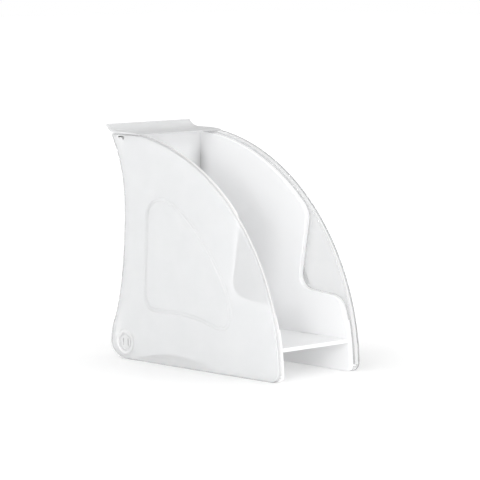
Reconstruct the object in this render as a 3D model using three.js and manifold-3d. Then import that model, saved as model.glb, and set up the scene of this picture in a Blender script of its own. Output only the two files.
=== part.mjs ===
// Magazine file holder: a white inner body between two clear side covers, with a translucent
// top handle and two split pins. Millimetres, +Z up, X across the width, front towards -Y.
//
// Side outlines are drawn as (y, z): y runs back from the front edge of the clear covers and
// z up from the table. Depths into a side piece are measured inwards from the cover's outer face.

import * as THREE from 'three';
import { mergeVertices } from 'three/addons/utils/BufferGeometryUtils.js';
import Module from 'manifold-3d';

const wasm = await Module();
wasm.setup();

// ---------------------------------------------------------------- driving dimensions
const WIDTH = 133.2;
const DEPTH = 290.5;
const HEIGHT = 270;
const GAP = 0.3;

const FRONT_RADIUS = HEIGHT;
const CORNER_RADIUS = 11;
const COVER_SKIN = 2;
const COVER_RIM = 1.8;
const COVER_DEPTH = 7;

const WALL_OUTER = 7.3;
const WALL_INNER = 13.8;
const WALL_SKIN = 2;
const WALL_SETBACK = 3.5;
const WALL_BOTTOM = 0.5;

const BACK_FACE = 254.2;
const BACK_THICKNESS = 2.4;
const BACK_BOTTOM = 2.4;
const TAB_REACH = 1.6;

const FLOOR_TOP = 38.2;
const FLOOR_EDGE = 4.5;
const FLOOR_SKIN = 2.4;
const FLOOR_FRONT = 6.4;

const HANDLE_THICKNESS = 2.7;
const HANDLE_FRONT = 232;

const PIN_Y = 258;
const PIN_Z = 20.4;
const POCKET_RADIUS = 10.4;
const POCKET_DEPTH = 2.4;
const PIN_HEAD_RADIUS = 7.8;
const PIN_SHAFT_RADIUS = 6.3;
const PIN_BARB_RADIUS = 7;

const CURVE_STEPS = 10;
const ROUND_STEPS = 32;

const HALF = WIDTH / 2;
const COVER_TOP = HEIGHT - HANDLE_THICKNESS - GAP;
const POCKET_FLOOR = POCKET_DEPTH + COVER_SKIN;
const INSIDE = HALF - WALL_INNER - GAP;

// ---------------------------------------------------------------- materials
function plastic(color, roughness, opacity = 1) {
  return new THREE.MeshStandardMaterial({
    color, roughness, metalness: 0, opacity, transparent: opacity < 1,
  });
}

const whitePlastic = () => plastic(0xf2f3f4, 0.35);
const clearPlastic = () => plastic(0xeef3f6, 0.08, 0.35);
const hazyPlastic = () => plastic(0xdfe3e6, 0.2, 0.7);

// ---------------------------------------------------------------- solids
function toSolid(geometry) {
  const bare = geometry.clone();
  bare.deleteAttribute('normal');
  bare.deleteAttribute('uv');
  const merged = mergeVertices(bare, 1e-4);
  return new wasm.Manifold(new wasm.Mesh({
    numProp: 3,
    vertProperties: new Float32Array(merged.attributes.position.array),
    triVerts: new Uint32Array(merged.index.array),
  }));
}

function toGeometry(solid) {
  const mesh = solid.getMesh();
  const geometry = new THREE.BufferGeometry();
  geometry.setAttribute('position', new THREE.BufferAttribute(mesh.vertProperties, 3));
  geometry.setIndex(new THREE.BufferAttribute(mesh.triVerts, 1));
  geometry.computeVertexNormals();
  return geometry;
}

// Turns a shape drawn as (y, z) and extruded along its own depth so that the depth lies along X.
const SIDEWAYS = new THREE.Matrix4().makeBasis(
  new THREE.Vector3(0, 1, 0),
  new THREE.Vector3(0, 0, 1),
  new THREE.Vector3(1, 0, 0),
);

// A shape's outline as a counter-clockwise ring of points, with no point given twice.
function ring(shape) {
  const points = shape.getPoints(CURVE_STEPS)
    .filter((point, i, all) => point.distanceTo(all.at(i - 1)) > 1e-3);
  return THREE.ShapeUtils.isClockWise(points) ? points.reverse() : points;
}

// A slab of the right-hand side, from one depth to another below the cover's outer face.
function sideSlab(shape, from, to) {
  const geometry = new THREE.ExtrudeGeometry(new THREE.Shape(ring(shape)), {
    depth: to - from, bevelEnabled: false,
  });
  geometry.applyMatrix4(SIDEWAYS);
  geometry.translate(HALF - to, 0, 0);
  return toSolid(geometry);
}

// A slab of a (y, z) outline that is centred on the middle of the holder.
function crossSlab(shape, width) {
  const geometry = new THREE.ExtrudeGeometry(new THREE.Shape(ring(shape)), {
    depth: width, bevelEnabled: false,
  });
  geometry.applyMatrix4(SIDEWAYS);
  geometry.translate(-width / 2, 0, 0);
  return toSolid(geometry);
}

// A box between two corners, given as [x, y, z].
function box(low, high) {
  const size = high.map((value, axis) => value - low[axis]);
  const geometry = new THREE.BoxGeometry(...size);
  geometry.translate(...low.map((value, axis) => value + size[axis] / 2));
  return toSolid(geometry);
}

// A box in the right-hand side, by its depths from the outer face.
function sideBox(from, to, yLow, yHigh, zLow, zHigh) {
  return box([HALF - to, yLow, zLow], [HALF - from, yHigh, zHigh]);
}

// A cone or cylinder about the pin's axis in the right-hand side.
function pinRound(outerRadius, innerRadius, from, to) {
  const geometry = new THREE.CylinderGeometry(outerRadius, innerRadius, to - from, ROUND_STEPS);
  geometry.rotateZ(-Math.PI / 2);
  geometry.translate(HALF - (from + to) / 2, PIN_Y, PIN_Z);
  return toSolid(geometry);
}

// A round cut about the pin's axis that clears a piece of the given radius.
function pinHole(radius, from, to) {
  return pinRound(radius + GAP, radius + GAP, from, to);
}

// The mirror image across the middle plane, with its faces still pointing out.
function mirrored(geometry) {
  const copy = geometry.clone();
  copy.scale(-1, 1, 1);
  const index = copy.index.array;
  for (let i = 0; i < index.length; i += 3) {
    [index[i], index[i + 1]] = [index[i + 1], index[i]];
  }
  copy.computeVertexNormals();
  return copy;
}

// Distance from a point to the nearest side of a ring of points.
function distanceToRing(point, points) {
  return Math.min(...points.map((start, i) => {
    const side = points[(i + 1) % points.length].clone().sub(start);
    const along = THREE.MathUtils.clamp(point.clone().sub(start).dot(side) / side.lengthSq(), 0, 1);
    return start.clone().addScaledVector(side, along).distanceTo(point);
  }));
}

// The same outline moved inwards by a distance. Points of a corner too tight for it are dropped.
function inset(shape, distance) {
  const points = ring(shape);
  const moved = points.map((point, i) => {
    const before = point.clone().sub(points.at(i - 1)).normalize();
    const after = points[(i + 1) % points.length].clone().sub(point).normalize();
    const inward = new THREE.Vector2(-before.y - after.y, before.x + after.x).normalize();
    const stretch = Math.max(0.5, inward.dot(new THREE.Vector2(-after.y, after.x)));
    return point.clone().addScaledVector(inward, distance / stretch);
  });
  return new THREE.Shape(moved.filter((point) => distanceToRing(point, points) > 0.97 * distance));
}

// ---------------------------------------------------------------- outlines
// Angle on a quarter-round front edge, about its centre, at a height above the table.
function frontArcAngle(radius, z) {
  return Math.PI - Math.asin(z / radius);
}

// Clear cover: quarter-round front, flat top, concave rear and a rounded rear foot.
function coverOutline() {
  const shape = new THREE.Shape();
  const cornerY = FRONT_RADIUS - Math.sqrt((FRONT_RADIUS - CORNER_RADIUS) ** 2 - CORNER_RADIUS ** 2);
  const footTop = 19.8;
  const footY = 255;
  const rearmost = 283.7;
  const waistY = 259;
  const waistZ = 184;
  shape.moveTo(footY, 0);
  shape.lineTo(cornerY, 0);
  shape.absarc(cornerY, CORNER_RADIUS, CORNER_RADIUS, -Math.PI / 2, -Math.PI, true);
  shape.absarc(
    FRONT_RADIUS, 0, FRONT_RADIUS,
    frontArcAngle(FRONT_RADIUS, CORNER_RADIUS), frontArcAngle(FRONT_RADIUS, COVER_TOP), true,
  );
  shape.lineTo(279.8, COVER_TOP);
  shape.quadraticCurveTo(283.2, COVER_TOP, 281, 264.2);
  shape.bezierCurveTo(267.5, 243, waistY, 214, waistY, waistZ);
  shape.bezierCurveTo(258, 118, 268, 66, 279, 44);
  shape.quadraticCurveTo(283.4, 34, rearmost, footTop);
  shape.absellipse(footY, footTop, rearmost - footY, footTop, 0, -Math.PI / 2, true);
  return shape;
}

// The raised panel on a cover: a triangle with large rounded corners and a wavy lower edge.
function raisedPanelOutline() {
  const shape = new THREE.Shape();
  shape.moveTo(200, 60.6);
  shape.bezierCurveTo(217, 60, 223, 66, 224.5, 84);
  shape.lineTo(221.6, 170);
  shape.bezierCurveTo(221, 186, 211, 196.3, 190.8, 196.2);
  shape.bezierCurveTo(160, 195, 112, 151, 84, 101);
  shape.bezierCurveTo(74, 84, 68, 50, 94.5, 50.4);
  shape.bezierCurveTo(112, 50.6, 125, 61.5, 171, 61.2);
  return shape;
}

// White side wall: set back from the cover's front edge, with a thumb notch in the front and a
// shallow arch in the bottom. Its rear edge follows the cover's and ends in a rounded foot.
function wallOutline() {
  const shape = new THREE.Shape();
  const radius = FRONT_RADIUS - WALL_SETBACK;
  const corner = 7;
  const archStart = 108;
  const archEnd = 248;
  const archHeight = 11.4;
  const notchFoot = 59.4;
  const notchTop = 189;
  const topY = 258;
  const topZ = Math.sqrt(radius ** 2 - (FRONT_RADIUS - topY) ** 2);
  const rear = 267.4;
  shape.moveTo(254, WALL_BOTTOM);
  shape.lineTo(archEnd, WALL_BOTTOM);
  shape.quadraticCurveTo((archStart + archEnd) / 2, WALL_BOTTOM + 2 * archHeight, archStart, WALL_BOTTOM);
  shape.lineTo(WALL_SETBACK + corner, WALL_BOTTOM);
  shape.quadraticCurveTo(WALL_SETBACK, WALL_BOTTOM, WALL_SETBACK + 0.1, WALL_BOTTOM + corner);
  shape.absarc(
    FRONT_RADIUS, 0, radius,
    frontArcAngle(radius, WALL_BOTTOM + corner), frontArcAngle(radius, notchFoot), true,
  );
  shape.bezierCurveTo(15.3, 75, 20, 86, 35, 87);
  shape.lineTo(66, 89.3);
  shape.bezierCurveTo(80, 90.2, 87, 98, 85.3, 111);
  shape.lineTo(76.6, 163);
  shape.bezierCurveTo(75, 174, 74.6, 181, 82, notchTop);
  shape.absarc(
    FRONT_RADIUS, 0, radius,
    frontArcAngle(radius, notchTop), Math.acos((topY - FRONT_RADIUS) / radius), true,
  );
  shape.lineTo(rear - 3, topZ);
  shape.quadraticCurveTo(rear, topZ, rear, topZ - 4);
  shape.bezierCurveTo(rear, 228, 258.7, 214, 258.7, 184);
  shape.bezierCurveTo(258, 100, 274.5, 60, 275.5, 24);
  shape.quadraticCurveTo(274.5, 1.5, 254, WALL_BOTTOM);
  return shape;
}

// Section of the handle: a flat plate over the side pieces that thins out towards its front, in
// line with the covers' round edges, and sweeps up into a lip at the rear.
function handleSection() {
  const shape = new THREE.Shape();
  const bottom = HEIGHT - HANDLE_THICKNESS;
  const bead = 1.7;
  shape.moveTo(HANDLE_FRONT, bottom);
  shape.lineTo(274, bottom);
  shape.quadraticCurveTo(283.5, bottom + 0.4, 288.6, 274.6);
  shape.quadraticCurveTo(290.5, 275.2, DEPTH, 276.4);
  shape.quadraticCurveTo(290.3, 276.4 + bead, 288.4, 277.8);
  shape.quadraticCurveTo(283, HEIGHT + 0.6, 272, HEIGHT);
  shape.lineTo(258, HEIGHT);
  shape.quadraticCurveTo(244, HEIGHT, HANDLE_FRONT + 0.5, bottom + 1);
  shape.quadraticCurveTo(HANDLE_FRONT, bottom + 0.9, HANDLE_FRONT, bottom + 0.5);
  return shape;
}

// ---------------------------------------------------------------- clear covers
// The raised panel stands out of the outer face and its hollow follows it on the inside.
const PANEL_RISE = 1.2;
const PANEL_BEVEL = 2.4;

// A prism with its bevelled end at the depth `from` and its plain end at the depth `to`.
function panelPrism(from, to, shrink) {
  const geometry = new THREE.ExtrudeGeometry(inset(raisedPanelOutline(), PANEL_BEVEL + shrink), {
    depth: to - from - PANEL_RISE,
    bevelEnabled: true,
    bevelThickness: PANEL_RISE,
    bevelSize: PANEL_BEVEL,
    bevelSegments: 1,
  });
  geometry.applyMatrix4(SIDEWAYS);
  geometry.translate(HALF - to, 0, 0);
  const keep = box([HALF - to, 0, 0], [HALF + 2 * PANEL_RISE, DEPTH, HEIGHT]);
  return toSolid(geometry).intersect(keep);
}

// The slot in the cover's front rim that the side wall's hook reaches into.
const HOOK_Z = 6.2;
const HOOK_HEIGHT = 2.6;
const HOOK_FRONT = 2.6;
const HOOK_REAR = 6;
const HOOK_TIP = 4.8;
const HOOK_SLOT_FROM = 4.2;
const HOOK_SLOT_REAR = 4;

// The L-shaped slot in the cover's upper rear corner, with its leg at the front. A peg of the
// same shape on the side wall sits in it.
const SLOT_FRONT = 259.3;
const SLOT_REAR = 269;
const SLOT_LOW = 260.4;
const SLOT_TOP = 264.6;
const SLOT_WIDTH = 1.9;
const PEG_TIP = 1;

// The L of the slot between two depths, or the peg in it when a clearance is given.
function ellShape(from, to, clearance = 0) {
  const front = SLOT_FRONT + clearance;
  const top = SLOT_TOP - clearance;
  const width = SLOT_WIDTH - 2 * clearance;
  return sideBox(from, to, front, SLOT_REAR - clearance, top - width, top)
    .add(sideBox(from, to, front, front + width, SLOT_LOW + clearance, top));
}

function clearCover() {
  const outline = coverOutline();
  const skin = sideSlab(outline, 0, COVER_SKIN);
  const rim = sideSlab(outline, COVER_SKIN - GAP, COVER_DEPTH)
    .subtract(sideSlab(inset(outline, COVER_RIM), COVER_SKIN - 2 * GAP, COVER_DEPTH + 1));
  const pocketWall = pinRound(POCKET_RADIUS + COVER_SKIN, POCKET_RADIUS + COVER_SKIN, 1, POCKET_FLOOR);
  const hookSlot = sideBox(
    HOOK_SLOT_FROM, COVER_DEPTH + 1, -1, HOOK_SLOT_REAR, HOOK_Z, HOOK_Z + HOOK_HEIGHT,
  );
  return skin
    .add(rim)
    .add(pocketWall)
    .add(panelPrism(-PANEL_RISE, 1, 0))
    .subtract(panelPrism(COVER_SKIN - PANEL_RISE, COVER_DEPTH, COVER_SKIN / 2))
    .subtract(pinRound(POCKET_RADIUS, POCKET_RADIUS, -1, POCKET_DEPTH))
    .subtract(pinHole(PIN_SHAFT_RADIUS, 0, COVER_DEPTH))
    .subtract(ellShape(-1, COVER_SKIN + 1))
    .subtract(hookSlot);
}

// ---------------------------------------------------------------- inner side walls
// Tabs on the floor and on the back panel reach into slots in the walls' inner skins.
const BACK_TAB_PLACES = [70, 150, 230];
const BACK_TAB_HALF = 9;
const FLOOR_TAB_PLACES = [70, 190];
const FLOOR_TAB_HALF = 14;

// How far the wall's round pad stands out around the pocket.
const PAD_COLLAR = 2.4;

// Along the bottom arch the hollow between the wall's skins is open.
const MOUTH_FRONT = 30;
const MOUTH_REAR = 244;
const MOUTH_TOP = 30;

function tabSlot(yLow, yHigh, zLow, zHigh) {
  return sideBox(
    WALL_INNER - TAB_REACH - GAP, WALL_INNER + 1, yLow - GAP, yHigh + GAP, zLow - GAP, zHigh + GAP,
  );
}

function innerWall() {
  const outline = wallOutline();
  const core = sideSlab(inset(outline, WALL_SKIN), WALL_OUTER + WALL_SKIN, WALL_INNER - WALL_SKIN);
  const mouth = core.translate([0, 0, -2 * WALL_SKIN])
    .intersect(box([0, MOUTH_FRONT, -MOUTH_TOP], [HALF, MOUTH_REAR, MOUTH_TOP]));
  const padRadius = POCKET_RADIUS + COVER_SKIN + PAD_COLLAR;
  const hook = sideBox(
    HOOK_TIP, WALL_OUTER + 1, HOOK_FRONT, HOOK_REAR, HOOK_Z + GAP, HOOK_Z + HOOK_HEIGHT - GAP,
  );
  let wall = sideSlab(outline, WALL_OUTER, WALL_INNER)
    .add(pinRound(padRadius, padRadius, COVER_SKIN + GAP, WALL_OUTER + 1))
    .add(hook)
    .add(ellShape(PEG_TIP, WALL_OUTER + 1, GAP))
    .subtract(core)
    .subtract(mouth)
    .subtract(pinHole(POCKET_RADIUS + COVER_SKIN, 0, POCKET_FLOOR + GAP))
    .subtract(pinHole(PIN_SHAFT_RADIUS, 0, WALL_OUTER + WALL_SKIN + 1));
  for (const y of FLOOR_TAB_PLACES) {
    wall = wall.subtract(
      tabSlot(y - FLOOR_TAB_HALF, y + FLOOR_TAB_HALF, FLOOR_TOP - FLOOR_SKIN, FLOOR_TOP),
    );
  }
  for (const z of BACK_TAB_PLACES) {
    wall = wall.subtract(
      tabSlot(BACK_FACE, BACK_FACE + BACK_THICKNESS, z - BACK_TAB_HALF, z + BACK_TAB_HALF),
    );
  }
  return wall;
}

// ---------------------------------------------------------------- back panel
// Two shallow recesses in the panel's rear face hold the barbs of the handle's tongue.
const RECESS_X = 30;
const RECESS_HALF = 7;
const RECESS_LOW = 254;
const RECESS_HIGH = 258;
const RECESS_DEPTH = 1.2;

function backPanel() {
  const rear = BACK_FACE + BACK_THICKNESS;
  let panel = box([-INSIDE, BACK_FACE, BACK_BOTTOM], [INSIDE, rear, COVER_TOP - GAP]);
  for (const x of [-RECESS_X, RECESS_X]) {
    panel = panel.subtract(box(
      [x - RECESS_HALF, rear - RECESS_DEPTH, RECESS_LOW], [x + RECESS_HALF, rear + 1, RECESS_HIGH],
    ));
  }
  for (const z of BACK_TAB_PLACES) {
    panel = panel.add(box(
      [-INSIDE - TAB_REACH, BACK_FACE + 0.1, z - BACK_TAB_HALF],
      [INSIDE + TAB_REACH, rear - 0.1, z + BACK_TAB_HALF],
    ));
  }
  return panel;
}

// ---------------------------------------------------------------- floor shelf
// A tray turned over, with walls all round its underside and two ribs from front to rear.
const SHELF_WALL = 2;
const SHELF_FRONT_WALL = 2.4;
const RIB_HALF = 0.9;

function floorShelf() {
  const rear = BACK_FACE - GAP;
  const underside = FLOOR_TOP - FLOOR_SKIN;
  const edge = FLOOR_TOP - FLOOR_EDGE;
  let shelf = box([-INSIDE, FLOOR_FRONT, edge], [INSIDE, rear, FLOOR_TOP])
    .subtract(box(
      [-INSIDE + SHELF_WALL, FLOOR_FRONT + SHELF_FRONT_WALL, edge - 1],
      [INSIDE - SHELF_WALL, rear - SHELF_WALL, underside],
    ));
  for (const x of [-INSIDE / 3, INSIDE / 3]) {
    shelf = shelf.add(box(
      [x - RIB_HALF, FLOOR_FRONT + 1, edge], [x + RIB_HALF, rear - 1, FLOOR_TOP - 1],
    ));
  }
  for (const y of FLOOR_TAB_PLACES) {
    shelf = shelf.add(box(
      [-INSIDE - TAB_REACH, y - FLOOR_TAB_HALF, underside],
      [INSIDE + TAB_REACH, y + FLOOR_TAB_HALF, FLOOR_TOP - 0.2],
    ));
  }
  return shelf;
}

// ---------------------------------------------------------------- top handle
// A tongue hangs from the plate behind the back panel, with a barb for each recess.
const TONGUE_LOW = 250;
const TONGUE_THICKNESS = 2;

function topHandle() {
  const bottom = HEIGHT - HANDLE_THICKNESS;
  const tongueFront = BACK_FACE + BACK_THICKNESS + GAP;
  const tongueHalf = INSIDE - 2;
  let handle = crossSlab(handleSection(), WIDTH).add(box(
    [-tongueHalf, tongueFront, TONGUE_LOW],
    [tongueHalf, tongueFront + TONGUE_THICKNESS, bottom + 1],
  ));
  for (const x of [-RECESS_X, RECESS_X]) {
    handle = handle.add(box(
      [x - RECESS_HALF + 1, tongueFront - RECESS_DEPTH, RECESS_LOW + 0.5],
      [x + RECESS_HALF - 1, tongueFront + 1, RECESS_HIGH - 0.5],
    ));
  }
  return handle;
}

// ---------------------------------------------------------------- snap pins
// A round head with two upright slits that split the shaft into prongs with barbed ends.
function snapPin() {
  const headFrom = 0.9;
  const shaftTo = WALL_OUTER + WALL_SKIN + GAP;
  const tip = shaftTo + 1.9;
  const slitFrom = 3.3;
  const slitTo = 5.1;
  const slitHalf = 4.4;
  const splitHalf = 9;
  const tipTaper = 0.9;
  const head = pinRound(PIN_HEAD_RADIUS, PIN_HEAD_RADIUS, headFrom, POCKET_DEPTH - GAP);
  const shaft = pinRound(PIN_SHAFT_RADIUS, PIN_SHAFT_RADIUS, POCKET_DEPTH - 2 * GAP, shaftTo + 0.2);
  const barbs = pinRound(PIN_BARB_RADIUS, PIN_SHAFT_RADIUS - tipTaper, shaftTo, tip);
  let pin = head.add(shaft).add(barbs);
  for (const side of [-1, 1]) {
    const near = PIN_Y + side * slitFrom;
    const far = PIN_Y + side * slitTo;
    const yLow = Math.min(near, far);
    const yHigh = Math.max(near, far);
    pin = pin
      .subtract(sideBox(0, POCKET_DEPTH, yLow, yHigh, PIN_Z - slitHalf, PIN_Z + slitHalf))
      .subtract(sideBox(POCKET_DEPTH - GAP, tip + 1, yLow, yHigh, PIN_Z - splitHalf, PIN_Z + splitHalf));
  }
  return pin;
}

// ---------------------------------------------------------------- assembly
const holder = new THREE.Group();

function place(name, geometry, material) {
  const mesh = new THREE.Mesh(geometry, material);
  mesh.name = name;
  holder.add(mesh);
}

function placePair(name, solid, material) {
  const geometry = toGeometry(solid);
  place(`right_${name}`, geometry, material());
  place(`left_${name}`, mirrored(geometry), material());
}

placePair('clear_cover', clearCover(), clearPlastic);
placePair('inner_wall', innerWall(), whitePlastic);
place('back_panel', toGeometry(backPanel()), whitePlastic());
place('floor_shelf', toGeometry(floorShelf()), whitePlastic());
place('top_handle', toGeometry(topHandle()), hazyPlastic());
placePair('snap_pin', snapPin(), clearPlastic);

// The origin is under the middle of the whole holder, on the table.
holder.position.y = -new THREE.Box3().setFromObject(holder).getCenter(new THREE.Vector3()).y;

export default holder;
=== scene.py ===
"""Magazine file holder: a white inner body between two clear side covers, on a pale floor.

The side pieces are drawn as outlines of (y, z) in millimetres, with y back from the front of the covers
and z up from the floor. Each is built up from rings: a ring is the outline moved inwards by an inset, at
a depth below the cover's outer face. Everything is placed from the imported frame.
"""

import math

import bmesh
import bpy
import numpy as np
from mathutils import Matrix, Vector
from mathutils.geometry import delaunay_2d_cdt

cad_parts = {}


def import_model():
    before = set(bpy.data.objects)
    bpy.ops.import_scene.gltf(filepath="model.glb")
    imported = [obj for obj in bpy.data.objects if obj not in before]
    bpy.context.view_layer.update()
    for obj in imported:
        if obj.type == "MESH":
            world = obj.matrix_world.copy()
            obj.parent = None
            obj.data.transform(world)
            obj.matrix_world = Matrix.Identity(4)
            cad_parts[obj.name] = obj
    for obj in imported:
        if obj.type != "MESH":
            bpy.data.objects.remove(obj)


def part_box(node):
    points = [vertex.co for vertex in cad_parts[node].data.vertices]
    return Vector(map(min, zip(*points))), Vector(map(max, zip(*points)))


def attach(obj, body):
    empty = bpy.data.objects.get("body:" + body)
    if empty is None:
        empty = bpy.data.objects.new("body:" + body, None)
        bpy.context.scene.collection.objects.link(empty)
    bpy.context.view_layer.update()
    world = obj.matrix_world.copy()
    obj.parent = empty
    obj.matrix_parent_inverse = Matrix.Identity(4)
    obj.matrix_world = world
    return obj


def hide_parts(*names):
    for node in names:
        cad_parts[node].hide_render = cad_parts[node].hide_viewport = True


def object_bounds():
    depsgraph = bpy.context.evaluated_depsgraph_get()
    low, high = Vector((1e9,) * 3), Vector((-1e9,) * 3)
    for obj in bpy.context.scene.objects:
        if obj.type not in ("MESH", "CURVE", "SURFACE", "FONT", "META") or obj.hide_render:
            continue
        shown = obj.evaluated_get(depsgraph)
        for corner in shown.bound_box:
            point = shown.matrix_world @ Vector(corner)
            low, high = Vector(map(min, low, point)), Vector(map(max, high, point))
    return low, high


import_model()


def corners(bounds):
    """The corners of a box as plain lists of numbers."""
    return [list(corner) for corner in bounds]


CAD_BOX = corners(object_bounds())
MM = 0.001
WELD = 2e-6                                     # metres within which two points of a mesh become one

# ------------------------------------------------------------ dimensions, in millimetres
COVER_LOW, COVER_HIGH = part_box("right_clear_cover")
WALL_LOW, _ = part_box("right_inner_wall")
HANDLE_LOW, HANDLE_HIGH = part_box("top_handle")
SHELF_LOW, SHELF_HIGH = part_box("floor_shelf")
BACK_LOW, BACK_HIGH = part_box("back_panel")
PIN_LOW, PIN_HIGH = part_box("right_snap_pin")

HALF = HANDLE_HIGH.x / MM                       # half the width, to the covers' outer faces
COVER_NOSE = 0.224                              # outline y of the covers' foremost point
FRONT = COVER_LOW.y - COVER_NOSE * MM           # world y of the outlines' y = 0
COVER_TOP = COVER_HIGH.z / MM
RADIUS = COVER_TOP + 3.0                        # of the quarter-round front edge

COVER_SKIN = 2.0
COVER_RIM = 1.8
COVER_DEPTH = 7.0
BURIED = 1.0                                    # how far a joined-on or cutting box reaches past a face
PANEL_RISE = COVER_HIGH.x / MM - HALF
PANEL_BEVEL = 5.0                               # width of the raised panel's soft step

WALL_INNER = HALF - WALL_LOW.x / MM
WALL_OUTER = 7.3
WALL_SKIN = 2.0
WALL_SETBACK = 3.5
WALL_BOTTOM = WALL_LOW.z / MM
GAP = 0.3
INSIDE = HALF - WALL_INNER - GAP
TAB_REACH = 1.6
SNUG = 0.27                                     # how far the white pieces close up the gaps between them

PIN_Y = (PIN_LOW.y + PIN_HIGH.y) / 2 / MM - FRONT / MM
PIN_Z = (PIN_LOW.z + PIN_HIGH.z) / 2 / MM
POCKET_RADIUS = 10.4
POCKET_DEPTH = 2.4
POCKET_FLOOR = POCKET_DEPTH + COVER_SKIN
PIN_HEAD_RADIUS = (PIN_HIGH.z - PIN_LOW.z) / 2 / MM
PIN_SHAFT_RADIUS = 6.3
PIN_BARB_RADIUS = 7.0
PAD_COLLAR = 2.4                                # wall of the round pad that the pin snaps into

HOOK_Z = 6.2                                    # the slot for the hook in the covers' front rim
HOOK_HEIGHT = 2.6
HOOK_FRONT, HOOK_REAR, HOOK_TIP = 2.6, 6, 4.8
HOOK_SLOT_REAR, HOOK_SLOT_FROM = 4, 4.2
SLOT_FRONT, SLOT_REAR = 259.3, 269.0            # the L-shaped slot in the covers' upper rear corners
SLOT_LOW, SLOT_TOP = 260.4, 264.6
SLOT_WIDTH = 1.9
PEG_TIP = 1                                     # depth of the peg's end in that slot

BACK_FACE = (BACK_LOW.y - FRONT) / MM
BACK_REAR = (BACK_HIGH.y - FRONT) / MM
BACK_TAB_PLACES = (70, 150, 230)
BACK_TAB_HALF = 9
RECESS_X, RECESS_HALF = 30, 7
RECESS_LOW, RECESS_HIGH, RECESS_DEPTH = 254, 258, 1.2

FLOOR_TOP = SHELF_HIGH.z / MM
FLOOR_EDGE = FLOOR_TOP - SHELF_LOW.z / MM
FLOOR_FRONT = (SHELF_LOW.y - FRONT) / MM
FLOOR_REAR = (SHELF_HIGH.y - FRONT) / MM
FLOOR_SKIN = 2.4
FLOOR_TAB_PLACES = (70, 190)
FLOOR_TAB_HALF = 14
RIB_HALF = 0.9

HANDLE_FRONT = (HANDLE_LOW.y - FRONT) / MM
HANDLE_BOTTOM = COVER_TOP + GAP
HANDLE_TOP = HANDLE_BOTTOM + 2.7
TONGUE_LOW = 250
TONGUE_THICKNESS = 2

# ------------------------------------------------------------ looks
CORNER_SHADE = 0.76                             # how much painted shade darkens the inside's rear corners
RIM_HAZE = 0.75                                 # share of milk in the covers' rims and pockets
UNDER_GLOW = 0.24                               # of the floor between the side pieces, kept above the shadow beside them as painted light
SHADOW_GLOW, FAR_GLOW = 0.15, 0.32                # of the floor beside the holder, lowered as a painted soft shadow, and away from it
SHADED_GLOW_THROUGH_PLASTIC = 0.17                     # of the floor seen through the covers, lowered as painted shade that greys them
AMBIENT_BRIGHT, AMBIENT_DIM = 1.2, 0.54         # of the surround, on its bright side and opposite
BRIGHT_SIDE = (-0.6, -0.78, 0.15)
PURE_WHITE = (1, 1, 1, 1)
PLASTIC_IOR = 1.49


# ------------------------------------------------------------ outlines
def arc(centre, radius, start, end, steps):
    """Points on a circle between two angles in degrees."""
    points = []
    for i in range(steps + 1):
        angle = math.radians(start + (end - start) * i / steps)
        points.append((centre[0] + radius * math.cos(angle), centre[1] + radius * math.sin(angle)))
    return points


def curve(*controls, steps):
    """Points on a Bezier curve with three or four control points."""
    points = []
    for i in range(steps + 1):
        t = i / steps
        layer = [Vector(c) for c in controls]
        while len(layer) > 1:
            layer = [a.lerp(b, t) for a, b in zip(layer, layer[1:])]
        points.append(tuple(layer[0]))
    return points


def even(points, spacing):
    """A closed outline with no point given twice and no side longer than the spacing."""
    same_place = 0.05
    distinct = []
    for i, point in enumerate(points):
        here = Vector(point)
        before = Vector(points[i - 1])
        if (here - before).length < same_place:
            continue
        distinct.append(here)
    filled = []
    for i, here in enumerate(distinct):
        after = distinct[(i + 1) % len(distinct)]
        parts = max(1, math.ceil((after - here).length / spacing))
        filled += [here.lerp(after, part / parts) for part in range(parts)]
    area = sum(a.x * b.y - b.x * a.y for a, b in zip(filled, filled[1:] + filled[:1]))
    return filled if area > 0 else filled[::-1]


def distance_to_side(point, a, b):
    """How far a point is from the straight line between two others."""
    side = b - a
    along = max(0.0, min(1.0, (point - a).dot(side) / side.length_squared))
    return (a + side * along - point).length


def inset(points, distance):
    """The outline moved inwards, point for point. Where a corner is too tight for it, the points slide
    along a short straight stretch instead of crossing."""
    if abs(distance) < 1e-6:
        return [p.copy() for p in points]
    count = len(points)
    moved = []
    for i, point in enumerate(points):
        before = (point - points[i - 1]).normalized()
        after = (points[(i + 1) % count] - point).normalized()
        inward = Vector((-before.y - after.y, before.x + after.x)).normalized()
        stretch = max(0.5, inward.dot(Vector((-after.y, after.x))))
        moved.append(point + inward * (distance / stretch))
    nearby, too_close = range(-14, 15), 0.95 * abs(distance)
    bad = [
        min(
            distance_to_side(moved[i], points[(i + k) % count], points[(i + k + 1) % count])
            for k in nearby
        ) < too_close
        for i in range(count)
    ]
    if not any(bad) or all(bad):
        return moved
    for i in range(count):
        if bad[i] and not bad[i - 1]:
            run = 1
            while bad[(i + run) % count]:
                run += 1
            start, end = moved[i - 1], moved[(i + run) % count]
            for k in range(run):
                moved[(i + k) % count] = start.lerp(end, (k + 1) / (run + 1))
    return moved


def on_front(radius, z):
    """Angle in degrees of a point on a front arc of that radius, at a height."""
    return 180 - math.degrees(math.asin(z / radius))


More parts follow.
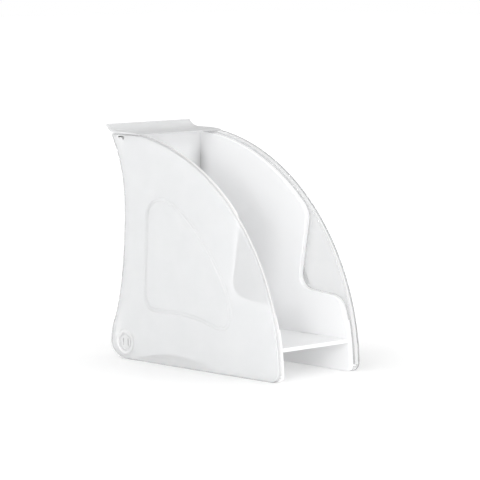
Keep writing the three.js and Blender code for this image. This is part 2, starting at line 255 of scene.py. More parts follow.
def cover_outline():
    """A quarter round in front, a concave edge at the rear and a round foot at its lower end."""
    corner = 11.0
    corner_y = RADIUS - math.sqrt((RADIUS - corner) ** 2 - corner ** 2)
    foot_y, foot_top, rearmost = 255.0, 19.8, 283.7
    waist = (259.0, 184.0)
    foot = [
        (foot_y + (rearmost - foot_y) * math.cos(turn), foot_top + foot_top * math.sin(turn))
        for turn in (math.radians(angle) for angle in range(0, -91, -6))
    ]
    return even(
        arc((corner_y, corner), corner, -90, -180, 12)
        + arc((RADIUS, 0), RADIUS, on_front(RADIUS, corner), on_front(RADIUS, COVER_TOP), 110)
        + curve((278.2, COVER_TOP), (283.6, COVER_TOP), (281, 264), steps=8)
        + curve((281, 264), (267.5, 243), (259, 214), waist, steps=24)
        + curve(waist, (258, 118), (268, 66), (279, 44), steps=36)
        + curve((279, 44), (283.4, 34), (rearmost, foot_top), steps=8)
        + foot,
        6.0,
    )


def raised_panel_outline():
    """A triangle with round corners and bowed sides."""
    return even(
        curve((200, 60.6), (217, 60), (223, 66), (224.5, 84), steps=12)
        + curve((221.6, 170), (221, 186), (211, 196.3), (190.8, 196.2), steps=14)
        + curve((190.8, 196.2), (160, 195), (112, 151), (84, 101), steps=40)
        + curve((84, 101), (74, 84), (68, 50), (94.5, 50.4), steps=18)
        + curve((94.5, 50.4), (112, 50.6), (125, 61.5), (171, 61.2), steps=20),
        5.0,
    )


def wall_outline():
    """The cover's shape, set back, with a thumb notch in front and a shallow arch in the bottom edge."""
    radius = RADIUS - WALL_SETBACK
    corner = 7.0
    arch_start, arch_end, arch_height = 108.0, 248.0, 11.4
    notch_foot, notch_top = 59.4, 189.0
    top_y, rear = 258.0, 267.4
    top_z = math.sqrt(radius ** 2 - (RADIUS - top_y) ** 2)
    top = 180 - math.degrees(math.acos((RADIUS - top_y) / radius))
    return even(
        curve((254, WALL_BOTTOM), (arch_end, WALL_BOTTOM), steps=2)
        + curve(
            (arch_end, WALL_BOTTOM), ((arch_start + arch_end) / 2, WALL_BOTTOM + 2 * arch_height),
            (arch_start, WALL_BOTTOM), steps=40,
        )
        + curve(
            (WALL_SETBACK + corner, WALL_BOTTOM), (WALL_SETBACK, WALL_BOTTOM),
            (WALL_SETBACK + 0.1, WALL_BOTTOM + corner), steps=8,
        )
        + arc((RADIUS, 0), radius, on_front(radius, WALL_BOTTOM + corner), on_front(radius, notch_foot), 24)
        + curve((11.7, notch_foot), (15.3, 75), (20, 86), (35, 87), steps=18)
        + curve((66, 89.3), (80, 90.2), (87, 98), (85.3, 111), steps=16)
        + curve((76.6, 163), (75, 174), (74.6, 181), (82, notch_top), steps=16)
        + arc((RADIUS, 0), radius, on_front(radius, notch_top), top, 60)
        + curve((rear - 3, top_z), (rear, top_z), (rear, top_z - 4), steps=6)
        + curve((rear, top_z - 4), (rear, 228), (258.7, 214), (258.7, 184), steps=20)
        + curve((258.7, 184), (258, 100), (274.5, 60), (275.5, 24), steps=36)
        + curve((275.5, 24), (274.5, 1.5), (254, WALL_BOTTOM), steps=14),
        6.0,
    )


def slot_outline():
    """The L-shaped slot, with its leg at the front."""
    leg = SLOT_FRONT + SLOT_WIDTH
    arm = SLOT_TOP - SLOT_WIDTH
    return even(
        [(SLOT_FRONT, SLOT_LOW), (leg, SLOT_LOW), (leg, arm), (SLOT_REAR, arm),
         (SLOT_REAR, SLOT_TOP), (SLOT_FRONT, SLOT_TOP)],
        4.0,
    )


def handle_section():
    """A flat plate that thins out towards its front and sweeps up into a lip at the rear."""
    base, top = HANDLE_BOTTOM, HANDLE_TOP
    lip_y, lip_z = 290.5, 276.4
    return even(
        [(HANDLE_FRONT, base)]
        + curve((274, base), (283.5, base + 0.4), (288.6, 274.6), steps=14)
        + curve((288.6, 274.6), (290.5, 275.2), (lip_y, lip_z), steps=5)
        + curve((lip_y, lip_z), (290.3, lip_z + 1.7), (288.4, 277.8), steps=5)
        + curve((288.4, 277.8), (283, top + 0.6), (272, top), steps=14)
        + curve((258, top), (244, top), (HANDLE_FRONT + 0.5, base + 1), steps=16)
        + curve(
            (HANDLE_FRONT + 0.5, base + 1), (HANDLE_FRONT, base + 0.9), (HANDLE_FRONT, base + 0.5), steps=3,
        ),
        3.0,
    )


def back_outline():
    """The back panel from the front, as (x, z), with three tabs on each side."""
    side, reach, taper = INSIDE + SNUG, INSIDE + TAB_REACH, 0.4
    low, high = BACK_LOW.z / MM, BACK_HIGH.z / MM
    right_side = [(side, low)]
    for z in BACK_TAB_PLACES:
        right_side += [
            (side, z - BACK_TAB_HALF), (reach, z - BACK_TAB_HALF + taper),
            (reach, z + BACK_TAB_HALF - taper), (side, z + BACK_TAB_HALF),
        ]
    right_side.append((side, high))
    return even(right_side + [(-x, z) for x, z in reversed(right_side)], 8.0)


def rectangle(x_low, x_high, y_low, y_high, corner=0.0):
    """A rectangle, with round corners if asked for."""
    if corner == 0.0:
        return even([(x_low, y_low), (x_high, y_low), (x_high, y_high), (x_low, y_high)], 8.0)
    points = []
    for cx, cy, start in (
        (x_high - corner, y_low + corner, -90), (x_high - corner, y_high - corner, 0),
        (x_low + corner, y_high - corner, 90), (x_low + corner, y_low + corner, 180),
    ):
        points += arc((cx, cy), corner, start, start + 90, 5)
    return even(points, 8.0)


# ------------------------------------------------------------ building with rings
def side_point(p, depth):
    """A point of the right-hand side, from its place on the outline and its depth."""
    return Vector(((HALF - depth) * MM, FRONT + p.x * MM, p.y * MM))


def flat_point(p, height):
    """A point of a piece drawn in plan as (x, y), at a height."""
    return Vector((p.x * MM, FRONT + p.y * MM, height * MM))


def facing_point(p, y):
    """A point of a piece drawn from the front as (x, z), at a distance back."""
    return Vector((p.x * MM, FRONT + y * MM, p.y * MM))


def cross_point(p, x):
    """A point of a piece drawn from the side as (y, z), at a distance across."""
    return Vector((x * MM, FRONT + p.x * MM, p.y * MM))


def is_inside(point, starts, ends):
    """Whether an odd number of the sides lies to the right of a point."""
    crossing = (starts[:, 1] > point[1]) != (ends[:, 1] > point[1])
    a, b = starts[crossing], ends[crossing]
    meets = a[:, 0] + (point[1] - a[:, 1]) / (b[:, 1] - a[:, 1]) * (b[:, 0] - a[:, 0])
    return np.count_nonzero(meets > point[0]) % 2 == 1


class Rings:
    """Rings of points and the faces between them, made into one closed mesh."""

    def __init__(self, place):
        self.place = place
        self.mesh = bmesh.new()

    def ring(self, points, level):
        """A ring, as pairs of an outline's point and the mesh's vertex for it."""
        return [(p, self.mesh.verts.new(self.place(p, level))) for p in points]

    def bridge(self, a, b):
        """Faces between two rings with the same number of points."""
        count = len(a)
        for i in range(count):
            j = (i + 1) % count
            self.mesh.faces.new((a[i][1], a[j][1], b[j][1], b[i][1]))

    def cap(self, outer, holes=()):
        """Flat triangles between a ring and the rings of any holes in it."""
        flat = []
        sides = []
        for loop in (outer, *holes):
            start = len(flat)
            flat += loop
            sides += [(start + i, start + (i + 1) % len(loop)) for i in range(len(loop))]
        points = [point for point, _ in flat]
        _, _, triangles, sources, _, _ = delaunay_2d_cdt(points, sides, [], 0, 1e-8)
        places = np.array(points, dtype=float)
        starts = places[[a for a, _ in sides]]
        ends = places[[b for _, b in sides]]
        for triangle in triangles:
            used = [sources[i][0] for i in triangle]
            if is_inside(places[used].mean(axis=0), starts, ends):
                self.mesh.faces.new([flat[i][1] for i in used])

    def sweep(self, outline, section):
        """Rings along a section of (inset, level) pairs, joined up. Gives the first and last ring."""
        rings = [self.ring(inset(outline, distance), level) for distance, level in section]
        for a, b in zip(rings, rings[1:]):
            self.bridge(a, b)
        return rings[0], rings[-1]

    def finish(self, name):
        return close_up(self.mesh, bpy.data.objects.new(name, bpy.data.meshes.new(name)))


def close_up(mesh, piece):
    """Tidy a mesh, turn its faces outwards and put it on its object."""
    bmesh.ops.remove_doubles(mesh, verts=mesh.verts, dist=WELD)
    bmesh.ops.dissolve_degenerate(mesh, edges=mesh.edges, dist=WELD)
    bmesh.ops.recalc_face_normals(mesh, faces=mesh.faces)
    if mesh.calc_volume(signed=True) < 0:
        bmesh.ops.reverse_faces(mesh, faces=mesh.faces)
    mesh.to_mesh(piece.data)
    mesh.free()
    if piece.name not in bpy.context.collection.objects:
        bpy.context.collection.objects.link(piece)
    return piece


def fillet(radius, steps=5):
    """Section of a rounded edge: (inset, depth) offsets from the sharp corner, from a flat outer face
    round to the side."""
    turns = [math.radians(90 * i / steps) for i in range(steps + 1)]
    return [(radius * (1 - math.sin(turn)), radius * (1 - math.cos(turn))) for turn in turns]


def plate_section(radius, level_a, level_b):
    """Section of a plate with both edges rounded, from the face at level_a to the face at level_b."""
    way = 1 if level_b > level_a else -1
    first = [(i, level_a + way * d) for i, d in fillet(radius)]
    last = [(i, level_b - way * d) for i, d in reversed(fillet(radius))]
    return first + last


def box(low, high, soft=0.0):
    """A box between two corners in millimetres, with its edges softened."""
    mesh = bmesh.new()
    made = bmesh.ops.create_cube(mesh, size=1)
    for vert in made["verts"]:
        place = [lo + (hi - lo) * (c + 0.5) for lo, hi, c in zip(low, high, vert.co)]
        vert.co = (place[0] * MM, FRONT + place[1] * MM, place[2] * MM)
    if soft:
        bmesh.ops.bevel(
            mesh, geom=mesh.edges[:], offset=soft * MM, segments=2, affect="EDGES", profile=0.6,
        )
    data = bpy.data.meshes.new("box")
    mesh.to_mesh(data)
    mesh.free()
    block = bpy.data.objects.new("box", data)
    bpy.context.collection.objects.link(block)
    return block


def side_box(shallow, deep, y_low, y_high, z_low, z_high, soft=0.0):
    """A box in the right-hand side, between two depths below the cover's outer face."""
    return box((HALF - deep, y_low, z_low), (HALF - shallow, y_high, z_high), soft)


def carve(piece, tools, operation="DIFFERENCE"):
    """Cut the tools out of a piece, or join them on, and use the tools up."""
    for tool in tools:
        modifier = piece.modifiers.new("carve", "BOOLEAN")
        modifier.operation = operation
        modifier.solver = "EXACT"
        modifier.object = tool
    depsgraph = bpy.context.evaluated_depsgraph_get()
    shape = bpy.data.meshes.new_from_object(piece.evaluated_get(depsgraph))
    shape.name = piece.name
    piece.modifiers.clear()
    piece.data = shape
    for tool in tools:
        bpy.data.objects.remove(tool)
    mesh = bmesh.new()
    mesh.from_mesh(shape)
    return close_up(mesh, piece)


def circle(centre, radius, steps=48):
    """Points evenly round a circle."""
    turns = [2 * math.pi * i / steps for i in range(steps)]
    return [
        Vector((centre[0] + radius * math.cos(turn), centre[1] + radius * math.sin(turn)))
        for turn in turns
    ]


def mirror_to_left(piece, name):
    """A mirror-image copy on the left of a piece made on the right."""
    data = piece.data.copy()
    data.name = name
    data.transform(Matrix.Scale(-1, 4, Vector((1, 0, 0))))
    data.flip_normals()
    twin = bpy.data.objects.new(name, data)
    bpy.context.collection.objects.link(twin)
    return twin


def smooth(piece):
    """Smooth shading that keeps flat faces flat and sharp edges sharp."""
    sharp_from = 35
    for face in piece.data.polygons:
        face.use_smooth = True
    piece.data.set_sharp_from_angle(angle=math.radians(sharp_from))
    weighted = piece.modifiers.new("weighted_normals", "WEIGHTED_NORMAL")
    weighted.keep_sharp = True
    weighted.mode = "FACE_AREA"


# ------------------------------------------------------------ materials
class Nodes:
    """A short way to write the node tree of a material or a world."""

    def __init__(self, owner):
        self.owner = owner
        owner.use_nodes = True
        self.tree = owner.node_tree
        self.tree.nodes.clear()

    def add(self, kind, settings=(), **inputs):
        """A node with its inputs, which are named (Base_Color) or numbered (_0)."""
        node = self.tree.nodes.new(kind)
        for key, value in dict(settings).items():
            setattr(node, key, value)
        for key, value in inputs.items():
            socket = node.inputs[int(key[1:])] if key[1:].isdigit() else node.inputs[key.replace("_", " ")]
            if isinstance(value, bpy.types.NodeSocket):
                self.tree.links.new(value, socket)
            else:
                socket.default_value = value
        return node

    def place(self):
        return self.add("ShaderNodeTexCoord").outputs["Object"]

    def noise(self, scale, detail):
        return self.add("ShaderNodeTexNoise", Vector=self.place(), Scale=scale, Detail=detail).outputs[0]

    def maths(self, operation, *values):
        inputs = {f"_{i}": value for i, value in enumerate(values)}
        return self.add("ShaderNodeMath", {"operation": operation}, **inputs).outputs[0]

    def ramp(self, value, start, end, low, high, **settings):
        """From low where the value is at the start to high where it is at the end, and level beyond."""
        return self.add(
            "ShaderNodeMapRange", settings, _0=value, _1=start, _2=end, _3=low, _4=high,
        ).outputs[0]

    def between(self, value, low, high):
        """A noise, stretched to run from low to high."""
        return self.ramp(value, 0.25, 0.75, low, high)

    def colours(self, value, first, second, blend="MIX"):
        return self.add(
            "ShaderNodeMix", {"data_type": "RGBA", "blend_type": blend}, _0=value, _6=first, _7=second,
        ).outputs[2]

    def within(self, y, z, low, high):
        """1 between two corners of a side view given in millimetres, 0 elsewhere."""
        low, high = side_point(Vector(low), 0), side_point(Vector(high), 0)
        middle, half = (low + high) / 2, (high - low) / 2
        return self.maths(
            "MULTIPLY",
            self.maths("COMPARE", y, middle.y, half.y),
            self.maths("COMPARE", z, middle.z, half.z),
        )

    def bump(self, height, distance, strength):
        return self.add("ShaderNodeBump", Height=height, Distance=distance, Strength=strength).outputs[0]

    def close(self, shader, **more):
        self.add("ShaderNodeOutputMaterial", Surface=shader, **more)
        return self.owner


def white_plastic():
    """Satin white plastic with a fine moulded grain and slightly uneven gloss. Its colour carries painted
    shade in the inside's upper rear corners, and the end of the peg, which lies deep in the cover's slot, is
    painted dark as the shade there."""
    skin_from, skin_to = 0.054, 0.057           # metres across, in the walls
    shade_from, shade_full = 0.264, 0.234       # metres up
    shade_front, shade_rear = 0.08, 0.11        # metres back
    end_from, end_to = 0.0638, 0.0642           # metres across, where the peg's end is painted dark as shade
    n = Nodes(bpy.data.materials.new("white_plastic"))
    grain = n.noise(1800, 2)
    cloud = n.noise(14, 4)
    white = n.colours(cloud, (0.928, 0.931, 0.936, 1), (0.937, 0.94, 0.944, 1))
    across, behind, up = n.add("ShaderNodeSeparateXYZ", _0=n.place()).outputs
    aside = n.maths("ABSOLUTE", across)

    # Painted shade: ambient occlusion darkens the white in the inside's upper rear corners, where shade
    # falls.
    inside = n.ramp(aside, skin_from, skin_to, CORNER_SHADE, 0.0)
    deep = n.ramp(up, shade_from, shade_full, 0.0, inside)
    corner = n.ramp(behind, shade_front, shade_rear, 0.0, deep)
    painted_occlusion = n.add("ShaderNodeAmbientOcclusion", {"samples": 8}, Distance=0.022).outputs["AO"]
    painted_corner_shade = n.colours(corner, white, painted_occlusion, "MULTIPLY")

    # Painted shade: the peg's end, deep in the cover's slot, is painted near black for the shade there.
    bar = n.within(behind, up, (SLOT_FRONT, SLOT_TOP - SLOT_WIDTH), (SLOT_REAR, SLOT_TOP))
    leg = n.within(behind, up, (SLOT_FRONT, SLOT_LOW), (SLOT_FRONT + SLOT_WIDTH, SLOT_TOP))
    painted_slot_shade = n.ramp(aside, end_from, end_to, 0.0, n.maths("MAXIMUM", bar, leg))

    shader = n.add(
        "ShaderNodeBsdfPrincipled",
        Base_Color=n.colours(painted_slot_shade, painted_corner_shade, (0.05, 0.05, 0.05, 1)),
        Roughness=n.between(cloud, 0.38, 0.5),
        IOR=PLASTIC_IOR,
        Normal=n.bump(grain, 0.00004, 0.35),
    )
    return n.close(shader.outputs[0])


def clear_plastic(name, tint, haze, milk, roughness, absorption):
    """Clear plastic with some milk in it, more of it in the covers' rims and pockets, and darker where light
    travels far through it. Lamps shine through it on to what is behind."""
    rim_from, rim_full = 0.0632, 0.0618         # metres across, below the covers' skin
    pocket_from, pocket_full = 0.015, 0.013     # metres from the pin's axis
    n = Nodes(bpy.data.materials.new(name))
    cloud = n.noise(22, 3)
    streaks = n.noise(260, 2)
    clear = n.add(
        "ShaderNodeBsdfPrincipled",
        Base_Color=(*tint, 1),
        Roughness=n.between(cloud, roughness * 0.7, roughness * 1.3),
        IOR=PLASTIC_IOR,
        Transmission_Weight=1.0,
        Normal=n.bump(streaks, 0.00002, 0.15),
    )
    milky = n.add("ShaderNodeBsdfPrincipled", Base_Color=(*milk, 1), Roughness=0.3, IOR=PLASTIC_IOR)

    place = n.place()
    aside = n.maths("ABSOLUTE", n.add("ShaderNodeSeparateXYZ", _0=place).outputs["X"])
    axis = side_point(Vector((PIN_Y, PIN_Z)), 0)
    in_side_view = n.add("ShaderNodeVectorMath", {"operation": "MULTIPLY"}, _0=place, _1=(0, 1, 1))
    from_pin = n.add(
        "ShaderNodeVectorMath", {"operation": "DISTANCE"}, _0=in_side_view.outputs[0], _1=(0, axis.y, axis.z),
    ).outputs["Value"]
    hazier = max(haze, RIM_HAZE)
    skin = n.between(cloud, haze * 0.97, haze * 1.03)
    rim = n.ramp(aside, rim_from, rim_full, skin, hazier)
    pocket = n.ramp(from_pin, pocket_from, pocket_full, rim, hazier)
    body = n.add("ShaderNodeMixShader", _0=pocket, _1=clear.outputs[0], _2=milky.outputs[0])

    lamplight = n.add("ShaderNodeBsdfTransparent", Color=(0.94, 0.94, 0.94, 1))
    shadow_ray = n.add("ShaderNodeLightPath").outputs["Is Shadow Ray"]
    whole = n.add("ShaderNodeMixShader", _0=shadow_ray, _1=body.outputs[0], _2=lamplight.outputs[0])
    depth = n.add("ShaderNodeVolumeAbsorption", Color=(0.45, 0.455, 0.46, 1), Density=absorption)
    return n.close(whole.outputs[0], Volume=depth.outputs[0])


# ------------------------------------------------------------ the covers
def clear_cover():
    """A tray with a rounded outer edge, a raised panel, an L-shaped slot and a pocket for the pin."""
    edge, lip, foot = 1.5, 0.5, 0.4
    pin = (PIN_Y, PIN_Z)
    build = Rings(side_point)
    section = fillet(edge)
    section += [(i, COVER_DEPTH - d) for i, d in reversed(fillet(lip, 3))]
    section += [(COVER_RIM - i, COVER_DEPTH - d) for i, d in fillet(lip, 3)]
    section += [(COVER_RIM + d, COVER_SKIN + i) for i, d in fillet(foot, 3)]
    outer, inner = build.sweep(cover_outline(), section)
    outer_panel = panel_rings(build, 0.0, 0.0)
    inner_panel = panel_rings(build, COVER_SKIN, COVER_SKIN * 0.5)
    pocket_rim, pocket_floor = build.sweep(circle(pin, POCKET_RADIUS + 0.6), [
        (0.0, 0.0), (0.2, 0.05), (0.45, 0.2), (0.6, 0.6),
        (0.6, POCKET_DEPTH - 0.5), (0.75, POCKET_DEPTH - 0.15), (1.1, POCKET_DEPTH),
    ])
    hole = build.sweep(circle(pin, PIN_SHAFT_RADIUS + GAP), [(0.0, POCKET_DEPTH), (0.0, POCKET_FLOOR)])
    cup_foot, cup_floor = build.sweep(circle(pin, POCKET_RADIUS + COVER_SKIN), [
        (0.0, COVER_SKIN), (0.0, POCKET_FLOOR - 0.5), (0.15, POCKET_FLOOR - 0.15), (0.5, POCKET_FLOOR),
    ])
    slot = build.sweep(slot_outline(), [(0.0, 0.0), (0.0, COVER_SKIN)])
    build.cap(outer, [outer_panel, pocket_rim, slot[0]])
    build.cap(pocket_floor, [hole[0]])
    build.cap(inner, [inner_panel, cup_foot, slot[1]])
    build.cap(cup_floor, [hole[1]])
    hook_slot = side_box(
        HOOK_SLOT_FROM, COVER_DEPTH + BURIED, -BURIED, HOOK_SLOT_REAR, HOOK_Z, HOOK_Z + HOOK_HEIGHT,
    )
    return carve(build.finish("right_cover"), [hook_slot])


def panel_rings(build, level, shrink):
    """The raised panel's soft step and its flat top. Gives the ring where it starts."""
    steps, ledge = 5, 0.2
    section = []
    for stage in (0, 1):
        for i in range(steps + 1):
            t = i / steps
            along = (stage * (1 + ledge) + t * (1 - ledge)) / 2
            rise = PANEL_RISE * (stage + t * t * (3 - 2 * t)) / 2
            section.append((shrink + PANEL_BEVEL * along, level - rise))
    start, top = build.sweep(raised_panel_outline(), section)
    build.cap(top)
    return start


# ------------------------------------------------------------ the white body
def tab_slot(y_low, y_high, z_low, z_high):
    """The slot in a wall's inner face for a tab of the floor or of the back panel."""
    return side_box(
        WALL_INNER - TAB_REACH - GAP, WALL_INNER + BURIED,
        y_low - GAP, y_high + GAP, z_low - GAP, z_high + GAP,
    )


def bottom_groove():
    """What is hollow between the wall's two skins, where the arch shows it from below."""
    front, middle, rear = 122, 178, 234
    build = Rings(side_point)
    low = curve((front, -8), (middle, 14), (rear, -8), steps=20)
    high = curve((rear, 8), (middle, 30), (front, 8), steps=20)
    start, end = build.sweep(
        even(low + high, 8.0), [(0.0, WALL_OUTER + WALL_SKIN), (0.0, WALL_INNER - WALL_SKIN)],
    )
    build.cap(start)
    build.cap(end)
    return build.finish("groove")


def inner_wall():
    """A slab with rounded edges, a round pad for the pin, a hook and an L-shaped peg for the cover, and slots
    for the tabs of the floor and of the back panel."""
    edge, soft = 1.1, 0.2
    pad, bore = POCKET_RADIUS + COVER_SKIN + PAD_COLLAR, POCKET_RADIUS + COVER_SKIN + GAP
    build = Rings(side_point)
    outer, inner = build.sweep(wall_outline(), plate_section(edge, WALL_OUTER, WALL_INNER))
    pad_top = COVER_SKIN + GAP
    pad_foot, hole_end = build.sweep(circle((PIN_Y, PIN_Z), pad), [
        (0.0, WALL_OUTER), (0.0, pad_top + 0.5), (0.15, pad_top + 0.15), (0.5, pad_top),
        (pad - bore, pad_top), (pad - bore, POCKET_FLOOR + GAP),
        (pad - PIN_SHAFT_RADIUS - GAP, POCKET_FLOOR + GAP),
        (pad - PIN_SHAFT_RADIUS - GAP, WALL_OUTER + WALL_SKIN),
        (pad - PIN_BARB_RADIUS - GAP, WALL_OUTER + WALL_SKIN),
        (pad - PIN_BARB_RADIUS - GAP, WALL_INNER - WALL_SKIN),
    ])
    build.cap(outer, [pad_foot])
    build.cap(hole_end)
    build.cap(inner)
    wall = build.finish("right_wall")
    root = WALL_OUTER + BURIED
    apart = 0.02                                # keeps the faces of the peg's two boxes out of one plane
    hook = side_box(HOOK_TIP, root, HOOK_FRONT, HOOK_REAR, HOOK_Z + GAP, HOOK_Z + HOOK_HEIGHT - GAP, soft)
    peg_leg = side_box(
        PEG_TIP, root, SLOT_FRONT + GAP, SLOT_FRONT + SLOT_WIDTH - GAP, SLOT_LOW + GAP, SLOT_TOP - GAP, soft,
    )
    peg_bar = side_box(
        PEG_TIP + apart, root + apart, SLOT_FRONT + GAP + apart, SLOT_REAR - GAP,
        SLOT_TOP - SLOT_WIDTH + GAP, SLOT_TOP - GAP - apart, soft,
    )
    carve(wall, [hook, peg_leg, peg_bar], "UNION")
    slots = [
        tab_slot(y - FLOOR_TAB_HALF, y + FLOOR_TAB_HALF, FLOOR_TOP - FLOOR_SKIN, FLOOR_TOP)
        for y in FLOOR_TAB_PLACES
    ]
    slots += [tab_slot(BACK_FACE, BACK_REAR, z - BACK_TAB_HALF, z + BACK_TAB_HALF) for z in BACK_TAB_PLACES]
    return carve(wall, [*slots, bottom_groove()])


def back_panel():
    """A plate with soft edges, tabs on both sides and two recesses for the handle's barbs behind."""
    soft = 0.15
    build = Rings(facing_point)
    front, rear = build.sweep(back_outline(), plate_section(soft, BACK_FACE, BACK_REAR))
    build.cap(front)
    build.cap(rear)
    panel = build.finish("back_plate")
    return carve(panel, [
        box(
            (x - RECESS_HALF, BACK_REAR - RECESS_DEPTH, RECESS_LOW),
            (x + RECESS_HALF, BACK_REAR + BURIED, RECESS_HIGH),
        )
        for x in (-RECESS_X, RECESS_X)
    ])


def floor_shelf():
    """A shallow tray turned over: a flat top, a deep front edge and three pockets beneath."""
    low, underside = FLOOR_TOP - FLOOR_EDGE, FLOOR_TOP - FLOOR_SKIN
    soft, side, front, corner = 0.15, 2.0, 2.4, 1.5
    tab_root, tab_soft = INSIDE - 1.5, 0.3
    build = Rings(flat_point)
    outline = rectangle(-INSIDE - SNUG, INSIDE + SNUG, FLOOR_FRONT, FLOOR_REAR + SNUG)
    top, bottom = build.sweep(outline, plate_section(soft, FLOOR_TOP, low))
    pockets = []
    edges = [-INSIDE + side, -INSIDE / 3, INSIDE / 3, INSIDE - side]
    for x_low, x_high in zip(edges, edges[1:]):
        pocket = rectangle(
            x_low + RIB_HALF, x_high - RIB_HALF, FLOOR_FRONT + front, FLOOR_REAR - side, corner,
        )
        mouth, ceiling = build.sweep(pocket, [(0.0, low), (0.2, underside - 0.4), (0.6, underside)])
        build.cap(ceiling)
        pockets.append(mouth)
    build.cap(top)
    build.cap(bottom, pockets)
    shelf = build.finish("raised_floor")
    tabs = [
        box((x_low, y - FLOOR_TAB_HALF, underside), (x_high, y + FLOOR_TAB_HALF, FLOOR_TOP - 0.2), tab_soft)
        for y in FLOOR_TAB_PLACES
        for x_low, x_high in ((-INSIDE - TAB_REACH, -tab_root), (tab_root, INSIDE + TAB_REACH))
    ]
    return carve(shelf, tabs, "UNION")


# ------------------------------------------------------------ the handle and the pins
def top_handle():
    """The handle's section swept across, with a tongue whose two barbs hook into the back panel."""
    edge, soft, barb_side, barb_end = 0.2, 0.3, 1, 0.5
    build = Rings(cross_point)
    left, right = build.sweep(handle_section(), plate_section(edge, -HALF, HALF))
    build.cap(left)
    build.cap(right)
    handle = build.finish("handle")
    tongue_front, tongue_half = BACK_REAR + GAP, INSIDE - 2
    tongue = box(
        (-tongue_half, tongue_front, TONGUE_LOW),
        (tongue_half, tongue_front + TONGUE_THICKNESS, HANDLE_BOTTOM + BURIED), soft,
    )
    barbs = [
        box(
            (x - RECESS_HALF + barb_side, tongue_front - RECESS_DEPTH, RECESS_LOW + barb_end),
            (x + RECESS_HALF - barb_side, tongue_front + BURIED, RECESS_HIGH - barb_end), soft,
        )
        for x in (-RECESS_X, RECESS_X)
    ]
    return carve(handle, [tongue, *barbs], "UNION")


def snap_pin():
    """A round head on a shaft with a barbed end, split into prongs by two upright slits."""
    slit_near, slit_far = 3.3, 5.1
    head_slit_half, shaft_slit_half = 4.4, 9
    tip_taper = 0.9
    head_from, head_to = 0.9, POCKET_DEPTH - GAP
    shaft_to = WALL_OUTER + WALL_SKIN + GAP
    tip = HALF - PIN_LOW.x / MM
    radius = PIN_HEAD_RADIUS
    build = Rings(side_point)
    shaft, barb = radius - PIN_SHAFT_RADIUS, radius - PIN_BARB_RADIUS
    start, end = build.sweep(circle((PIN_Y, PIN_Z), radius), [
        (0.8, head_from), (0.35, head_from + 0.1), (0.1, head_from + 0.35), (0.0, head_from + 0.6),
        (0.0, head_to - 0.2), (0.2, head_to), (shaft, head_to), (shaft, shaft_to),
        (barb, shaft_to), (barb, shaft_to + 0.2), (shaft + tip_taper, tip),
    ])
    build.cap(start)
    build.cap(end)
    slits = []
    for side in (-1, 1):
        y_low, y_high = sorted((PIN_Y + side * slit_near, PIN_Y + side * slit_far))
        slits += [
            side_box(shallow, deep, y_low, y_high, PIN_Z - half, PIN_Z + half)
            for shallow, deep, half in (
                (0, POCKET_DEPTH, head_slit_half),
                (POCKET_DEPTH - GAP, tip + BURIED, shaft_slit_half),
            )
        ]
    return carve(build.finish("right_pin"), slits)


# ------------------------------------------------------------ put together
WHITE = white_plastic()
CLEAR = clear_plastic(
    "clear_plastic", tint=(0.97, 0.975, 0.98), haze=0.3, milk=(0.862, 0.865, 0.868),
    roughness=0.015, absorption=16,
)
PIN = clear_plastic(
    "pin_plastic", tint=(0.97, 0.975, 0.98), haze=0.75, milk=(0.862, 0.865, 0.868),
    roughness=0.06, absorption=5,
)
HAZY = clear_plastic(
    "hazy_plastic", tint=(0.94, 0.945, 0.95), haze=0.72, milk=(0.805, 0.81, 0.815),
    roughness=0.2, absorption=8,
)


def settle(piece, material, slot, *nodes):
    """Give a finished piece its material, its body and the CAD nodes it stands for. Its slot is not used."""
    piece.data.materials.clear()
    piece.data.materials.append(material)
    smooth(piece)
    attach(piece, "root")
    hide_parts(*nodes)


for make, word, node, material, slot in (
    (clear_cover, "cover", "clear_cover", CLEAR, "clear_cover"),
    (inner_wall, "wall", "inner_wall", WHITE, "white_body"),
    (snap_pin, "pin", "snap_pin", PIN, "clear_pin"),
):
    right = make()
    left = mirror_to_left(right, f"left_{word}")
    settle(right, material, slot, f"right_{node}")
    settle(left, material, slot, f"left_{node}")

settle(back_panel(), WHITE, "white_body", "back_panel")
settle(floor_shelf(), WHITE, "white_body", "floor_shelf")
settle(top_handle(), HAZY, "hazy_handle", "top_handle")


# ------------------------------------------------------------ floor, light and camera
def floor():
    """A white floor that glows a little. Its glow is lowered beside the holder as a painted soft shadow, kept
    higher between the side pieces as painted light, and lowered where it is seen through the covers as
    painted shade."""
    reach = 12.0
    shadow_from, shadow_to = 0.06, 0.34         # metres from the middle of the holder
    under_to, beside_from = 0.053, 0.066        # metres across
    mesh = bpy.data.meshes.new("floor")
    square = [(-reach, -reach, 0), (reach, -reach, 0), (reach, reach, 0), (-reach, reach, 0)]
    mesh.from_pydata(square, [], [(0, 1, 2, 3)])
    plane = bpy.data.objects.new("floor", mesh)
    bpy.context.collection.objects.link(plane)
    n = Nodes(bpy.data.materials.new("floor_white"))
    place = n.place()
    away = n.add("ShaderNodeVectorMath", {"operation": "LENGTH"}, _0=place).outputs["Value"]
    # Painted shadow: the glow drops beside the holder and is kept a little higher between the side pieces as
    # painted light.
    around = n.ramp(away, shadow_from, shadow_to, SHADOW_GLOW, FAR_GLOW, interpolation_type="SMOOTHSTEP")
    aside = n.maths("ABSOLUTE", n.add("ShaderNodeSeparateXYZ", _0=place).outputs["X"])
    glow_with_painted_shadow = n.ramp(aside, under_to, beside_from, UNDER_GLOW, around)
    # Painted shade: the floor glows less where it is seen through the covers, which greys them.
    through = n.add("ShaderNodeLightPath").outputs["Is Transmission Ray"]
    shader = n.add(
        "ShaderNodeBsdfPrincipled",
        Base_Color=n.colours(n.noise(3, 2), (0.86, 0.86, 0.86, 1), (0.88, 0.88, 0.88, 1)),
        Roughness=0.9,
        Emission_Color=PURE_WHITE,
        Emission_Strength=n.ramp(through, 0.0, 1.0, glow_with_painted_shadow, SHADED_GLOW_THROUGH_PLASTIC),
    )
    mesh.materials.append(n.close(shader.outputs[0]))


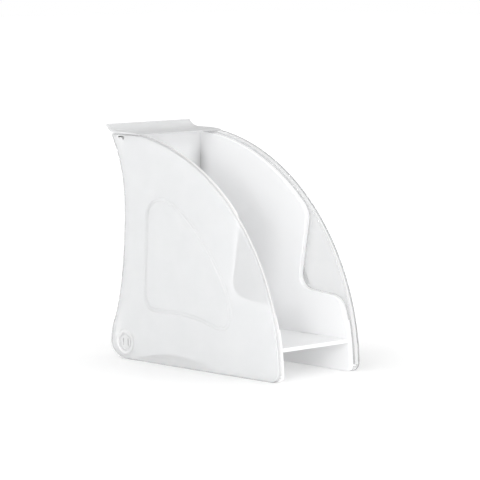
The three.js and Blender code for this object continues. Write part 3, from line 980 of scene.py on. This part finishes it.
def softbox(name, place, aim, size, power):
    """A rectangular lamp, with its size in metres and its power in watts."""
    data = bpy.data.lights.new(name, "AREA")
    data.shape = "RECTANGLE"
    data.size, data.size_y = size
    data.energy = power
    lamp = bpy.data.objects.new(name, data)
    lamp.location = place
    lamp.rotation_mode = "QUATERNION"
    lamp.rotation_quaternion = (Vector(aim) - Vector(place)).to_track_quat("-Z", "Y")
    bpy.context.collection.objects.link(lamp)


def world():
    """Soft light from all round, brighter from the front left. The camera sees it as a white backdrop."""
    n = Nodes(bpy.data.worlds.new("studio"))
    towards = n.add(
        "ShaderNodeVectorMath", {"operation": "DOT_PRODUCT"},
        _0=n.add("ShaderNodeTexCoord").outputs["Generated"], _1=BRIGHT_SIDE,
    ).outputs["Value"]
    strength = n.ramp(towards, -1.0, 1.0, AMBIENT_DIM, AMBIENT_BRIGHT)
    around = n.add("ShaderNodeBackground", Color=PURE_WHITE, Strength=strength)
    backdrop = n.add("ShaderNodeBackground", Color=PURE_WHITE, Strength=1.0)
    seen = n.add("ShaderNodeLightPath").outputs["Is Camera Ray"]
    both = n.add("ShaderNodeMixShader", _0=seen, _1=around.outputs[0], _2=backdrop.outputs[0])
    n.add("ShaderNodeOutputWorld", Surface=both.outputs[0])
    bpy.context.scene.world = n.owner


def camera():
    """A long lens from the front left, a little above the holder."""
    azimuth, elevation, distance = math.radians(-43.92), math.radians(6.29), 3.109
    off_middle = Vector((0, -0.0146, 0.008))
    low, high = (Vector(corner) for corner in CAD_BOX)
    aim = (low + high) / 2 + off_middle
    level = math.cos(elevation)
    back = Vector((math.sin(azimuth) * level, -math.cos(azimuth) * level, math.sin(elevation)))
    data = bpy.data.cameras.new("camera")
    data.lens = 200.2
    data.sensor_width = 36
    seen = bpy.data.objects.new("camera", data)
    seen.location = aim + back * distance
    seen.rotation_mode = "QUATERNION"
    seen.rotation_quaternion = (-back).to_track_quat("-Z", "Y")
    bpy.context.collection.objects.link(seen)
    bpy.context.scene.camera = seen


floor()
world()
softbox("left_light", place=(-2.15, -1.1, 0.6), aim=(0, 0, 0.12), size=(0.6, 0.6), power=9)
softbox("front_fill", place=(-0.9, -2.2, 0.3), aim=(0, 0, 0.03), size=(0.5, 0.3), power=2.5)
camera()
bpy.context.scene.view_settings.view_transform = "Standard"
